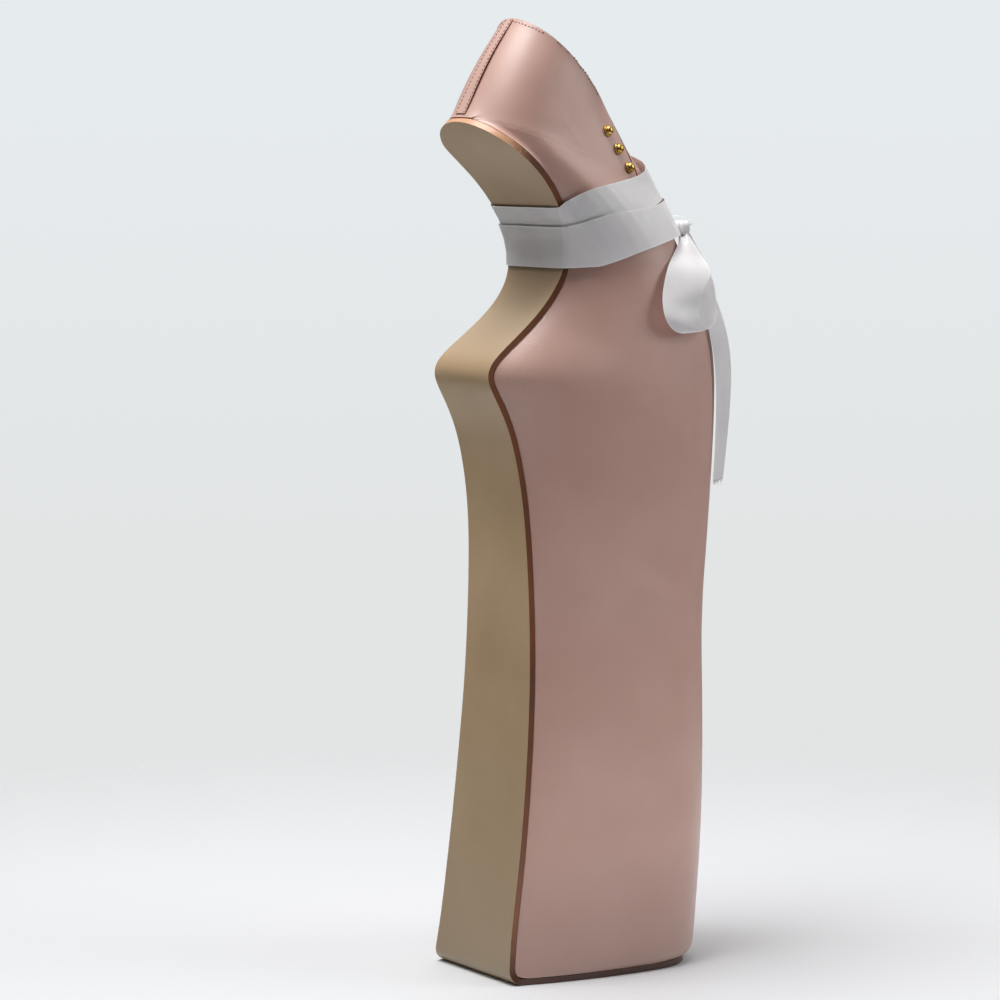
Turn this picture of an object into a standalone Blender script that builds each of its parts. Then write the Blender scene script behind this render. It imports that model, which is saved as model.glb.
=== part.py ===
"""A platform ballet heel: a heel-less shoe 460 mm tall that holds the foot almost upright.

A strip of sole leather runs from the tip of the heel seat, down the arch, round a knuckle, down the
hollow back of the platform and under its base. One hollow leather upper covers the rest, from the
collar to the floor, over a solid platform. Three studs close its flap, and a ribbon ties round it.

Frame: toe +X, up +Z, outer side of the foot -Y, floor at Z = 0, and the base's middle at X = 0.
The tables are in millimetres, and count lengths from the rear of the base.
"""

import math

import bmesh
import bpy
import numpy as np
from mathutils import Matrix, Vector

MM = 0.001
MIDDLE = 57.0  # length at the middle of the base, which is put at X = 0

WALL = 1.8  # leather of the upper
SOLE = 3.0  # leather of the sole strip
SOCK = 2.2  # insole
GAP = 0.3  # between pieces that meet
RIBBON = 20.0  # width of the ribbon
SATIN = 0.7  # the ribbon's solids, thick enough to be one closed body
GATHER = 0.45  # share of the ribbon's width where a loop is gathered at the knot
TAIL_GATHER = 0.33  # and where a tail is

CORNER = 7.0  # radius between the back of the sole and its base
TIP = 411.0  # height of the heel tip
SEAT_ROUND = 27.0  # length of the rounded end of the heel seat
SEAT_BLEND = 45.0  # height below the heel tip over which the seat's sides take up its round
SEAT_HOLD = 3  # how soon they do, going up from the sole's edge
APEX = 460.0  # height of the collar at the back
EASE = 7.0  # height of the rounding where the upper meets the base
EASE_SIDE = 2.2  # how far that rounding draws in at the sides
EASE_FRONT = 6.0  # and at the front
CLOSING = 22.0  # half width of the sole below which the wall starts to close behind the heel
SLIT = 0.3  # half of the least opening of the wall at the heel tip

# The sole's outer face, seen from the side, and its half width.
SOLE_LINE = (
    # height, back, half width
    (7, -2.2, 32.4),
    (15, -1.2, 31.4),
    (45, 2.9, 30.8),
    (75, 6.7, 30.4),
    (105, 9.6, 29.7),
    (135, 12.0, 28.5),
    (170, 13.1, 27.0),
    (200, 12.9, 25.4),
    (228, 11.4, 24.2),
    (252, 7.4, 23.7),
    (270, 1.6, 23.5),
    (282, -4.8, 23.4),
    (291, -8.4, 23.2),
    (298, -5.6, 22.9),
    (305, 2.6, 22.3),
    (315, 15.7, 21.5),
    (330, 30.3, 21.5),
    (345, 36.0, 24.0),
    (360, 34.1, 26.4),
    (375, 26.3, 29.0),
    (390, 12.9, 31.2),
    (400.5, -0.2, 31.6),
    (TIP, -11.2, 31.4),
)

# The back of the counter, above the heel tip.
COUNTER_LINE = (
    # height, back
    (TIP, -9.8),
    (421.5, -5.2),
    (434, 1.0),
    (443, 6.4),
    (454, 14.8),
    (APEX, 20.0),
)

# The front of the upper.
FRONT_LINE = (
    # height, front
    (3, 114.6),
    (16, 115.4),
    (36, 117.2),
    (60, 119.2),
    (100, 120.8),
    (140, 121.0),
    (172, 121.0),
    (195, 123.6),
    (235, 128.2),
    (275, 131.6),
    (300, 131.0),
    (318, 126.4),
    (340, 116.6),
    (360, 107.0),
    (380, 96.8),
    (400, 80.5),
    (412, 70.0),
)

# Sections of the upper. Each lies in a plane from a point at its back to a point at its front.
SECTIONS = (
    # back height, front height, half width, length where it is that wide, squareness of the front
    (3, 3, 45.8, 76.0, 2.5),
    (30, 30, 46.3, 77.3, 2.5),
    (60, 60, 46.2, 79.3, 2.5),
    (120, 120, 44.8, 80.5, 2.5),
    (175, 175, 43.2, 80.6, 2.5),
    (230, 230, 42.8, 81.5, 2.4),
    (275, 275, 42.8, 78.0, 2.35),
    (291, 288, 42.4, 76.5, 2.35),
    (315, 308, 40.5, 78.3, 2.3),
    (345, 331, 37.0, 76.5, 2.2),
    (360, 341.7, 35.9, 70.5, 2.2),
    (375, 352, 35.0, 60.3, 2.2),
    (391, 362.5, 34.0, 44.8, 2.2),
    (403.5, 369.6, 33.1, 29.5, 2.2),
    (TIP, 374, 32.6, 23.0, 2.2),
    (421, 381.1, 31.9, 21.8, 2.18),
    (430, 388, 31.0, 24.3, 2.15),
    (446, 399.5, 28.4, 31.8, 2.05),
    (APEX, 410.5, 25.5, 39.0, 2.0),
)

# Back heights of the rings that the upper is lofted through.
RINGS = (
    3.3, 4.6, 6.6, 10.5, 24, 42, 62, 84, 108, 132, 154, 172, 186, 200, 218, 236, 252, 264, 274, 282,
    287, 291, 295, 299, 304, 310, 317, 325, 334, 344, 354, 364, 374, 383, 391, 398, 403.5, 407,
    409.3, 410.5, TIP, 416, 424, 433, 442, 450, 456, APEX,
)  # fmt: skip
TIP_RINGS = 10  # the length at the heel tip where the sole has rings of its own
BACK_STEPS = 8  # points of a half section behind its widest place
FRONT_STEPS = 8  # and in front of it
CLOSURE_STEP = 4  # the step in front of it that the closure takes

# Top of the insole, from the heel tip to the toes, where it has left the sole strip.
FOOTBED = (
    # length, height
    (41.0, 326),
    (40.6, 308),
    (42.5, 290),
    (47.0, 275),
    (55.0, 261),
    (68.0, 246),
    (90.0, 226),
    (122.0, 201),
)
FOOTBED_LEAVES = 338  # height where the insole starts to leave the strip
HEEL_SHORT = 6  # how far below the heel tip the insole ends
PLATFORM_TOP = 322  # height where the platform has come out to a usable edge
PLATFORM_FALL = 4  # how far its top falls from there to the sole
TOE_FALL = 45  # how far its top falls from the toes' end to the front
OUTSIDE = (-60, 180, -20)  # a back, front and height past the shoe, where cutters end

# The back strip that covers the seam of the counter.
STRIP = {"thick": 0.8, "bottom": 4.2, "top": 3.0}  # its half widths at both ends

# The closure on the outer side of the instep, as angles round a section.
CLOSURE = {
    "edge": 136,  # middle of the slit
    "cut": 1.0,  # half of the slit
    "low": 376,  # back height of the section where the slit ends
    "underlap": 11,  # half of the layer under it
    "thick": 1.0,
}
STUDS = (
    # back height of the section, angle round it
    (437.0, 122.5),
    (428.0, 126.5),
    (418.5, 130.0),
)
STUD = {"flange": 2.8, "flange_thick": 0.7, "dome": 2.3, "tall": 3.0}  # two radii, two heights

TURNS_START = 48  # angle round a section where the turns leave the sole
EDGE_BEND = 0.6  # share of their lift by which they pass the edge of the sole
BRIDGE = 1.6  # how far the turns stand off the leather at the front of the instep

# The two turns of ribbon: back heights of the sections at their edges, and how many lie below them.
TURNS = {
    # name: rows of (share of the way from the sole to the front, lower edge, upper edge), layer
    "ribbon_turn_upper": (
        ((0, 351, 371), (0.15, 360, 379), (0.3, 370, 388), (0.5, 384, 402), (0.8, 404, 427.5),
         (1, 414, 438)),
        0,
    ),
    "ribbon_turn_lower": (
        ((0, 341, 362), (0.15, 348, 369), (0.35, 359, 378.5), (0.6, 371, 391), (0.8, 378.5, 403),
         (1, 384, 410)),
        1,
    ),
}  # fmt: skip

# The bow, tied on the outer side of the instep.
KNOT = {
    "height": 380.5,  # back height of the section it is tied on
    "angle": 150,  # and the angle round it
    "size": (6.0, 9.0, 8.0),  # off the leather, along the ribbon, up
}
LOOPS = {
    # name: start from the knot's middle (off the leather, towards the front, up), azimuth it hangs
    # towards, steepness, length, half depth, turn and drift of its width
    "ribbon_loop_outer": ((4.0, -4.2, -2.6), -124, 50, 62, 6.5, 18, 0.0),
    "ribbon_loop_inner": ((4.5, 7.0, -2.0), 85, 5, 30, 5.0, 60, 0.0),
}
TAILS = {
    # name: rows of back height, angle round the section, lift off the leather; turn of its width
    "ribbon_tail_outer": (
        ((373, 146.5, 4.4), (366, 145, 3.6), (345, 142.5, 2.7), (312, 145, 3.3), (275, 148, 3.5),
         (236, 150, 3.0)),
        22,
    ),
    "ribbon_tail_inner": (
        ((376, 156, 4.8), (362, 171, 4.0), (345, 183, 2.0), (312, 190, 1.8), (285, 190, 2.2),
         (258, 188, 2.4)),
        0,
    ),
}  # fmt: skip


# ---- curves -------------------------------------------------------------------------------------


class Smooth:
    """A natural cubic spline through a table: its first column is the key."""

    def __init__(self, rows):
        table = np.array(rows, float)
        self.key, self.values = table[:, 0], table[:, 1:]
        step = np.diff(self.key)
        size = len(self.key)
        left, right = np.eye(size), np.zeros_like(self.values)
        for i in range(1, size - 1):
            left[i, i - 1 : i + 2] = step[i - 1], 2 * (step[i - 1] + step[i]), step[i]
            slopes = np.diff(self.values[i - 1 : i + 2], axis=0) / step[i - 1 : i + 1, None]
            right[i] = 6 * (slopes[1] - slopes[0])
        self.bend = np.linalg.solve(left, right)

    def __call__(self, at):
        at = float(np.clip(at, self.key[0], self.key[-1]))
        i = min(int(np.searchsorted(self.key, at, side="right")) - 1, len(self.key) - 2)
        i = max(i, 0)
        step = self.key[i + 1] - self.key[i]
        a, b = (self.key[i + 1] - at) / step, (at - self.key[i]) / step
        curve = ((a**3 - a) * self.bend[i] + (b**3 - b) * self.bend[i + 1]) * step**2 / 6
        return a * self.values[i] + b * self.values[i + 1] + curve


sole_line = Smooth(SOLE_LINE)
counter_line = Smooth(COUNTER_LINE)
front_line = Smooth(FRONT_LINE)
sections = Smooth(SECTIONS)


def sole_point(height, depth=0.0):
    """A point of the sole's line at a height, moved into the shoe by a depth: length, height."""
    if height < CORNER:
        centre = sole_line(CORNER)[0] + CORNER
        angle = math.acos(max(-1.0, min(1.0, 1 - height / CORNER)))
        reach = CORNER - depth
        return centre - reach * math.sin(angle), CORNER - reach * math.cos(angle)
    low, high = max(height - 0.25, CORNER), min(height + 0.25, TIP)
    lean = (sole_line(high)[0] - sole_line(low)[0]) / (high - low)
    slope = math.hypot(lean, 1)
    return sole_line(height)[0] + depth / slope, height - depth * lean / slope


def sole_half(height):
    """The half width of the sole strip at a height of its outer face, with its round heel tip."""
    half = sole_line(height)[1]
    if height < CORNER:
        return half + 2.2 * (1 - height / CORNER) ** 2
    x, z = sole_point(height)
    left = math.hypot(x - sole_line(TIP)[0], z - TIP)
    if left < SEAT_ROUND:
        half *= math.sqrt(1 - (1 - left / SEAT_ROUND) ** 2)
    return half


def inner_edge(height):
    """Where the upper's rim meets the sole, at a height of the rim: length, height, half width."""
    depth = SOLE + GAP
    low, high = 0.0, TIP
    for _ in range(40):
        middle = (low + high) / 2
        if sole_point(middle, depth)[1] < height:
            low = middle
        else:
            high = middle
    return sole_point(low, depth)[0], height, sole_half(low)


TIP_EDGE = sole_point(TIP, SOLE + GAP)


def back_point(height):
    """The back of a section: length, height, half width of the sole there."""
    if height >= TIP:
        lean = (height - TIP) / (APEX - TIP)
        x = counter_line(height)[0]
        return x, height + (TIP_EDGE[1] - TIP) * (1 - lean) ** 2, 0.0
    if height > SOLE + GAP:
        reach = TIP_EDGE[1] if height > TIP - 30 else TIP
        part = max(0.0, (height - (TIP - 30)) / 30)
        return inner_edge(min(height + (reach - TIP) * part, TIP_EDGE[1]))
    return sole_line(CORNER)[0] + CORNER, SOLE + GAP, sole_half(0.0)


# ---- the upper's surface ------------------------------------------------------------------------


def section(height, inset=0.0):
    """The numbers of a section: back, front, half width at the back, widest, its place, squareness."""
    front_height, widest, widest_at, square = sections(height)
    x, z, half = back_point(height)
    front_height = max(front_height, z) if height < 60 else front_height
    front = front_line(front_height)[0]
    ease = max(0.0, 1 - (z - SOLE - GAP) / EASE)
    draw = 1 - math.sqrt(1 - ease**2)
    back = Vector((x, 0, z))
    tip = Vector((front - EASE_FRONT * draw, 0, front_height))
    place = (widest_at - back.x) / (tip.x - back.x)
    along = (tip - back).normalized()
    widest = widest - EASE_SIDE * draw - inset
    if inset > 0:
        back += along * inset * max(0.0, 1 - half / CLOSING)
        tip -= along * inset
        half = max(half - inset, SLIT) if height < TIP else 0.0
    return back, tip, half, widest, place, square


def mirrored(point):
    """The same point or direction on the other side of the shoe."""
    return Vector((point.x, -point.y, point.z))


def seat_swell(height, back, widest, reach, inset):
    """How far a section just below the heel tip stays off the round that the counter carries on."""
    drop = TIP - height
    if not 0 < drop < SEAT_BLEND:
        return Vector()
    share = 1 - drop / SEAT_BLEND
    lean = counter_line(TIP + 1)[0] - counter_line(TIP)[0]
    behind = Vector((counter_line(TIP)[0] - lean * drop + inset, 0, TIP_EDGE[1] - drop))
    return (back - widest - (behind - widest) * reach) * share**2 * (3 - 2 * share)


def skin(height, angle, inset=0.0):
    """A point of the upper's outer face: 0 degrees is its back, 90 its widest place, 180 its front."""
    if angle > 180:
        return mirrored(skin(height, 360 - angle, inset))
    back, tip, half, widest, place, square = section(height, inset)
    start = math.asin(min(half / widest, 1.0))
    along, turn = tip - back, math.radians(angle)
    if angle <= 90:
        turn = max(turn, start)
        share = place * (1 - math.cos(turn) / math.cos(start))
        side = widest * math.sin(turn)
        near = math.cos(turn) / math.cos(start)
        swell = seat_swell(height, back, back + along * place, math.cos(start), inset)
        bulge = swell * (near**SEAT_HOLD - near)
    else:
        bulge = Vector()
        turn -= math.pi / 2
        power = 2 / square
        share = place + (1 - place) * math.sin(turn) ** power
        side = widest * max(math.cos(turn), 0.0) ** power
    point = back + along * share + bulge
    point.y = -side
    return point


def skin_start(height, inset=0.0):
    """The angle at which a section leaves the sole."""
    _, _, half, widest, _, _ = section(height, inset)
    return math.degrees(math.asin(min(half / widest, 1.0)))


def skin_normal(height, angle):
    """The direction out of the upper at a point of it."""
    if angle > 180:
        return mirrored(skin_normal(height, 360 - angle))
    up = skin(min(height + 0.5, APEX), angle) - skin(height - 0.5, angle)
    on = skin(height, angle + 1) - skin(height, max(angle - 1, 0))
    return on.cross(up).normalized()


def half_ring(height, inset=0.0):
    """One side of a section, from the sole round to the front, with both edges of the closure."""
    start = skin_start(height, inset)
    back = [start + (90 - start) * i / BACK_STEPS for i in range(BACK_STEPS)]
    front = [90 + 90 * i / FRONT_STEPS for i in range(FRONT_STEPS + 1)]
    slit = [CLOSURE["edge"] - CLOSURE["cut"], CLOSURE["edge"] + CLOSURE["cut"]]
    front[CLOSURE_STEP : CLOSURE_STEP + 1] = slit
    return [skin(height, angle, inset) for angle in back + front]


def ring(height, inset=0.0):
    """A whole section, from the sole's one edge round the front to its other edge."""
    side = half_ring(height, inset)
    return side + [mirrored(p) for p in side[-2::-1]]


# ---- making meshes ------------------------------------------------------------------------------

COLOURS = {
    # name: colour, roughness, metallic
    "sole_leather": ((0.33, 0.25, 0.16), 0.45, 0.0),
    "pink_leather": ((0.62, 0.42, 0.38), 0.4, 0.0),
    "platform_cork": ((0.45, 0.32, 0.2), 0.8, 0.0),
    "insole_leather": ((0.6, 0.5, 0.42), 0.6, 0.0),
    "gold": ((0.83, 0.62, 0.24), 0.2, 1.0),
    "satin": ((0.86, 0.86, 0.87), 0.35, 0.0),
}


def finish(name, mesh, finish_name):
    """Link a mesh as a named object with its own material."""
    colour, roughness, metallic = COLOURS[finish_name]
    material = bpy.data.materials.new(name)
    material.use_nodes = True
    shader = material.node_tree.nodes["Principled BSDF"]
    shader.inputs["Base Color"].default_value = (*colour, 1)
    shader.inputs["Roughness"].default_value = roughness
    shader.inputs["Metallic"].default_value = metallic
    piece = bpy.data.objects.new(name, mesh)
    mesh.materials.clear()
    mesh.materials.append(material)
    bpy.context.collection.objects.link(piece)
    return piece


def close(work, name):
    """Merge what meets, point the faces out, and turn the work into a mesh about the base's middle."""
    bmesh.ops.remove_doubles(work, verts=work.verts, dist=0.00002)
    bmesh.ops.recalc_face_normals(work, faces=work.faces)
    bmesh.ops.translate(work, vec=(-MIDDLE * MM, 0, 0), verts=work.verts)
    mesh = bpy.data.meshes.new(name)
    work.to_mesh(mesh)
    work.free()
    mesh.shade_smooth()
    mesh.set_sharp_from_angle(angle=math.radians(35))
    return mesh


def loft(work, rings, around=False, capped=False):
    """Join rows of points, in millimetres, with faces: around each row, and over both ends."""
    rows = [[work.verts.new(Vector(p) * MM) for p in points] for points in rings]
    size = len(rows[0])
    for low, high in zip(rows, rows[1:]):
        for i in range(size if around else size - 1):
            j = (i + 1) % size
            work.faces.new((low[i], low[j], high[j], high[i]))
    if capped:
        work.faces.new(rows[0][::-1])
        work.faces.new(rows[-1])
    return rows


def cut(piece, cutter, operation):
    """Cut a piece with another mesh, and keep the result as its mesh."""
    cutter.hide_render = True
    cutter.display_type = "WIRE"
    tool = piece.modifiers.new(operation, "BOOLEAN")
    tool.operation = operation
    tool.solver = "EXACT"
    tool.object = cutter


def prism(name, outline, half=80.0):
    """A cutter: an outline of lengths and heights, as wide as the shoe."""
    work = bmesh.new()
    rings = [[(x, side, z) for x, z in outline] for side in (-half, half)]
    loft(work, rings, around=True, capped=True)
    piece = bpy.data.objects.new(name, close(work, name))
    bpy.context.collection.objects.link(piece)
    return piece


def band(name, stations):
    """A strip of ribbon: stations hold its two edges and the direction of its outer face."""
    work = bmesh.new()
    rings = []
    for low, high, out in stations:
        depth = out * SATIN
        rings.append([low, low + depth, high + depth, high])
    loft(work, rings, around=True, capped=True)
    return finish(name, close(work, name), "satin")


# ---- the sole -----------------------------------------------------------------------------------


def sole_stations():
    """The strip's outer face, from the front of the base to the heel tip: point, depth way, half."""
    base = half_ring(SOLE + GAP)
    stations = [(Vector((p.x, 0, 0)), Vector((0, 0, 1)), -p.y) for p in base[::-1]]
    centre = sole_line(CORNER)[0] + CORNER
    for angle in (15, 30, 45, 60, 75, 90):
        turn = math.radians(angle)
        way = Vector((math.sin(turn), 0, math.cos(turn)))
        point = Vector((centre, 0, CORNER)) - way * CORNER
        stations.append((point, way, sole_half(point.z)))
    heights = [h for h in RINGS if CORNER + 2 < h < TIP - TIP_RINGS]
    heights += [TIP - TIP_RINGS * share**2 for share in (1.0, 0.82, 0.64, 0.47, 0.3, 0.15, 0.0)]
    for height in heights:
        x, z = sole_point(height)
        inner_x, inner_z = sole_point(height, 1.0)
        way = Vector((inner_x - x, 0, inner_z - z)).normalized()
        stations.append((Vector((x, 0, z)), way, sole_half(height)))
    return stations


def make_outsole():
    """One strip of leather with a rounded front, a bent corner, a knuckle and a round heel tip."""
    work = bmesh.new()
    rings = []
    for point, way, half in sole_stations():
        deep = point + way * SOLE
        side = Vector((0, half, 0))
        rings.append([point - side, point + side, deep + side, deep - side])
    loft(work, rings, around=True, capped=True)
    return finish("outsole", close(work, "outsole"), "sole_leather")


# ---- the upper and what is inside it ------------------------------------------------------------


def make_upper():
    """One hollow skin with a wall: open at the collar, behind and below where the sole is, and in
    the closure's slit."""
    work = bmesh.new()
    outer = loft(work, [ring(height) for height in RINGS])
    inner = loft(work, [ring(height, WALL) for height in RINGS])

    def wall(first, second):
        (i, j), (k, m) = first, second
        work.faces.new((outer[i][j], outer[k][m], inner[k][m], inner[i][j]))

    last = len(RINGS) - 1
    side = len(outer[0]) - 1
    slit = BACK_STEPS + CLOSURE_STEP
    low = sum(height < CLOSURE["low"] for height in RINGS)
    for k in range(side):
        wall((0, k), (0, k + 1))
        if k != slit:
            wall((last, k), (last, k + 1))
    for i in range(sum(height < TIP for height in RINGS)):
        wall((i, 0), (i + 1, 0))
        wall((i, side), (i + 1, side))
    for i in range(low, last):
        wall((i, slit), (i + 1, slit))
        wall((i, slit + 1), (i + 1, slit + 1))
    wall((low, slit), (low, slit + 1))
    for rows in (outer, inner):
        for i in range(low, last):
            corners = {rows[i][slit], rows[i][slit + 1], rows[i + 1][slit], rows[i + 1][slit + 1]}
            work.faces.remove(next(f for f in rows[i][slit].link_faces if set(f.verts) == corners))
    return finish("upper", close(work, "upper"), "pink_leather")


def make_form(name, inset, finish_name):
    """The space inside the upper, as one closed solid."""
    work = bmesh.new()
    rows = loft(work, [ring(height, inset) for height in RINGS if height > 4], capped=False)
    for low, high in zip(rows, rows[1:]):
        work.faces.new((low[-1], low[0], high[0], high[-1]))
    work.faces.new(rows[0])
    work.faces.new(rows[-1][::-1])
    bmesh.ops.dissolve_degenerate(work, edges=work.edges, dist=0.00001)
    return finish(name, close(work, name), finish_name)


def strip_depth_line(depth, low, high, steps):
    """Points that run up the sole strip at a depth inside it: length, height."""
    return [sole_point(low + (high - low) * i / steps, depth) for i in range(steps + 1)]


def footbed_line(drop):
    """The top of the insole from the toes up to the heel tip, lowered by a drop."""
    points = [Vector((x, z)) for x, z in FOOTBED]
    rest = SOLE + GAP + SOCK
    heel = [Vector(p) for p in strip_depth_line(rest, FOOTBED_LEAVES, TIP - HEEL_SHORT, 12)]
    line = points[::-1] + heel
    lowered = []
    for i, point in enumerate(line):
        on = (line[min(i + 1, len(line) - 1)] - line[max(i - 1, 0)]).normalized()
        lowered.append(point + Vector((-on.y, on.x)) * drop)
    return lowered


def make_platform():
    """The block that fills the upper below the insole and carries the foot."""
    piece = make_form("platform", WALL + GAP, "platform_cork")
    top = [p for p in footbed_line(SOCK + GAP) if p.y < PLATFORM_TOP]
    back, front, under = OUTSIDE
    outline = [(p.x, p.y) for p in top]
    outline += [(back, PLATFORM_TOP - PLATFORM_FALL), (back, under), (front, under)]
    outline += [(front, top[0].y - TOE_FALL)]
    cut(piece, prism("platform_cutter", outline), "INTERSECT")
    return piece


def make_insole():
    """A sock of leather that lies on the platform and up the heel seat."""
    piece = make_form("insole", WALL + 3 * GAP, "insole_leather")
    upper_side, lower_side = footbed_line(0.0), footbed_line(SOCK)
    outline = [(p.x, p.y) for p in upper_side] + [(p.x, p.y) for p in lower_side[::-1]]
    cut(piece, prism("insole_cutter", outline), "INTERSECT")
    return piece


def make_back_strip():
    """A narrow strip over the seam at the back of the counter."""
    work = bmesh.new()
    rings = []
    for height in (TIP + 2, 418, 426, 434, 442, 450, 456, APEX - 0.6):
        share = (height - TIP) / (APEX - TIP)
        half = STRIP["bottom"] + (STRIP["top"] - STRIP["bottom"]) * share
        widest = section(height)[3]
        angle = math.degrees(math.asin(half / widest))
        back = skin_normal(height, 1)
        back.y = 0
        back.normalize()
        outer = [(skin(height, angle), skin_normal(height, angle)), (skin(height, 0), back)]
        row = []
        for lift in (GAP, GAP + STRIP["thick"]):
            side, middle = (p + n * lift for p, n in outer)
            row.append([side, middle, mirrored(side)])
        rings.append(row[0] + row[1][::-1])
    loft(work, rings, around=True, capped=True)
    return finish("back_strip", close(work, "back_strip"), "pink_leather")


def make_underlap():
    """The layer that the closure's flap lies on, seen in its slit."""
    work = bmesh.new()
    rings = []
    for height in (384, 396, 408, 420, 432, 444, 454):
        row = []
        for lift in (WALL + 2 * GAP, WALL + 2 * GAP + CLOSURE["thick"]):
            side = []
            for turn in (-1, -0.33, 0.33, 1):
                angle = CLOSURE["edge"] + turn * CLOSURE["underlap"]
                side.append(skin(height, angle) - skin_normal(height, angle) * lift)
            row.append(side)
        rings.append(row[0] + row[1][::-1])
    loft(work, rings, around=True, capped=True)
    return finish("closure_underlap", close(work, "closure_underlap"), "pink_leather")


def make_stud(name, height, angle):
    """A domed gold stud on a thin flange, standing off the flap by the gap."""
    point, out = skin(height, angle), skin_normal(height, angle)
    profile = [(0.0, 0.0), (STUD["flange"], 0.0), (STUD["flange"], STUD["flange_thick"])]
    for step in range(5):
        turn = math.radians(90 * step / 4)
        rise = (STUD["tall"] - STUD["flange_thick"]) * math.sin(turn)
        profile.append((STUD["dome"] * math.cos(turn), STUD["flange_thick"] + rise))
    work = bmesh.new()
    chain = [work.verts.new(Vector((r, 0, h)) * MM) for r, h in profile]
    edges = [work.edges.new(pair) for pair in zip(chain, chain[1:])]
    bmesh.ops.spin(
        work, geom=chain + edges, cent=(0, 0, 0), axis=(0, 0, 1), steps=14, angle=math.tau,
        use_merge=True,
    )  # fmt: skip
    turn = out.to_track_quat("Z", "Y").to_matrix().to_4x4()
    turn.translation = (point + out * GAP) * MM
    bmesh.ops.transform(work, matrix=turn, verts=work.verts)
    return finish(name, close(work, name), "gold")


# ---- the ribbon ---------------------------------------------------------------------------------


def turn_lift(angle, layer):
    """How far the inner face of a turn lies above the leather."""
    share = min(1.0, max(0.0, (angle - 100) / 40))
    return 2 * GAP + layer * (SATIN + GAP) + BRIDGE * share**2 * (3 - 2 * share)


def wrap_point(height, share, layer, rise):
    """A point on a turn of ribbon, on the outer side, a rise above its inner face."""
    if share > 0:
        angle = TURNS_START + (180 - TURNS_START) * share
        lift = turn_lift(angle, layer) + rise
        if height < TIP:
            angle = max(angle, skin_start(height))
        return skin(height, angle) + skin_normal(height, angle) * lift
    lift = turn_lift(0, layer) + rise
    x, z = sole_point(height, -lift)
    return Vector((x, -sole_half(height) - lift * EDGE_BEND, z))


def make_turn(name, marks, layer):
    """One turn of ribbon, all the way round the instep and over the sole strip."""
    edges = Smooth(marks)
    across = (0, 0.33, 0.67, 1)
    steps = 14
    rows = []
    for i in range(steps + 1):
        share = i / steps
        low, high = edges(share)
        heights = [low + (high - low) * part for part in across]
        inner = [wrap_point(h, share, layer, 0.0) for h in heights]
        outer = [wrap_point(h, share, layer, SATIN) for h in heights]
        rows.append(inner + outer[::-1])
    far = [[mirrored(p) for p in row] for row in rows[-2::-1]]
    work = bmesh.new()
    loft(work, rows + far + [rows[0]], around=True)
    return finish(name, close(work, name), "satin")


def knot_frame():
    """The knot's middle, and its ways off the leather, towards the front and up."""
    height, angle = KNOT["height"], KNOT["angle"]
    out = skin_normal(height, angle)
    up = (skin(height + 1, angle) - skin(height - 1, angle)).normalized()
    lift = turn_lift(angle, len(TURNS)) + KNOT["size"][0] / 2
    return skin(height, angle) + out * lift, out, up.cross(out).normalized(), up


def make_knot():
    """The knot of the bow: a soft block that stands on both turns."""
    middle, out, front, up = knot_frame()
    work = bmesh.new()
    made = bmesh.ops.create_cube(work, size=1)
    bmesh.ops.scale(work, vec=Vector(KNOT["size"]) * MM, verts=made["verts"])
    bmesh.ops.bevel(
        work, geom=work.edges[:], offset=2.2 * MM, segments=3, profile=0.5, affect="EDGES",
        material=-1,
    )  # fmt: skip
    place = Matrix((out, front, up)).transposed().to_4x4()
    place.translation = middle * MM
    bmesh.ops.transform(work, matrix=place, verts=work.verts)
    return finish("ribbon_knot", close(work, "ribbon_knot"), "satin")


def make_loop(name, offset, azimuth, steep, length, half_depth, twist, drift):
    """A loop of the bow: a teardrop of ribbon that hangs from the knot."""
    turn, fall = math.radians(azimuth), math.radians(steep)
    level = Vector((math.cos(turn), math.sin(turn), 0))
    down = level * math.cos(fall) - Vector((0, 0, math.sin(fall)))
    across = level * math.sin(fall) + Vector((0, 0, math.cos(fall)))
    wide = Matrix.Rotation(math.radians(90 + twist), 3, "Z") @ level
    middle, out, front, up = knot_frame()
    start = middle + out * offset[0] + front * offset[1] + up * offset[2]
    steps, opens = 22, 22  # and the angle, at each end, where the loop leaves the knot
    points = []
    for i in range(steps + 1):
        phase = math.radians(opens + (360 - 2 * opens) * i / steps)
        along = length * (1 - math.cos(phase)) / 2
        side = half_depth * math.sin(phase) * math.sin(phase / 2) ** 1.3
        points.append(start + down * along + across * side + wide * drift * along / length)
    stations = []
    for i, point in enumerate(points):
        on = (points[min(i + 1, steps)] - points[max(i - 1, 0)]).normalized()
        spread = min(1.0, 1.6 * math.sin(math.pi * i / steps))
        half = RIBBON / 2 * (GATHER + (1 - GATHER) * spread)
        stations.append((point - wide * half, point + wide * half, on.cross(wide).normalized()))
    return band(name, stations)


def make_tail(name, rows, turn):
    """A free end of the ribbon, hanging down the front of the toes."""
    key = np.linspace(0, 1, len(rows))
    line = Smooth([(k, *row) for k, row in zip(key, rows)])
    steps = 20
    stations = []
    for i in range(steps + 1):
        height, angle, lift = line(i / steps)
        out = skin_normal(height, angle)
        point = skin(height, angle) + out * lift
        wide = (skin(height, angle + 1) - skin(height, angle - 1)).normalized()
        wide = Matrix.Rotation(math.radians(-turn * min(1.0, i / 7)), 3, "Z") @ wide
        spread = min(1.0, TAIL_GATHER + i / 8)
        half = RIBBON / 2 * spread
        stations.append((point - wide * half, point + wide * half, out))
    return band(name, stations)


# ---- the whole ----------------------------------------------------------------------------------


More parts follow.
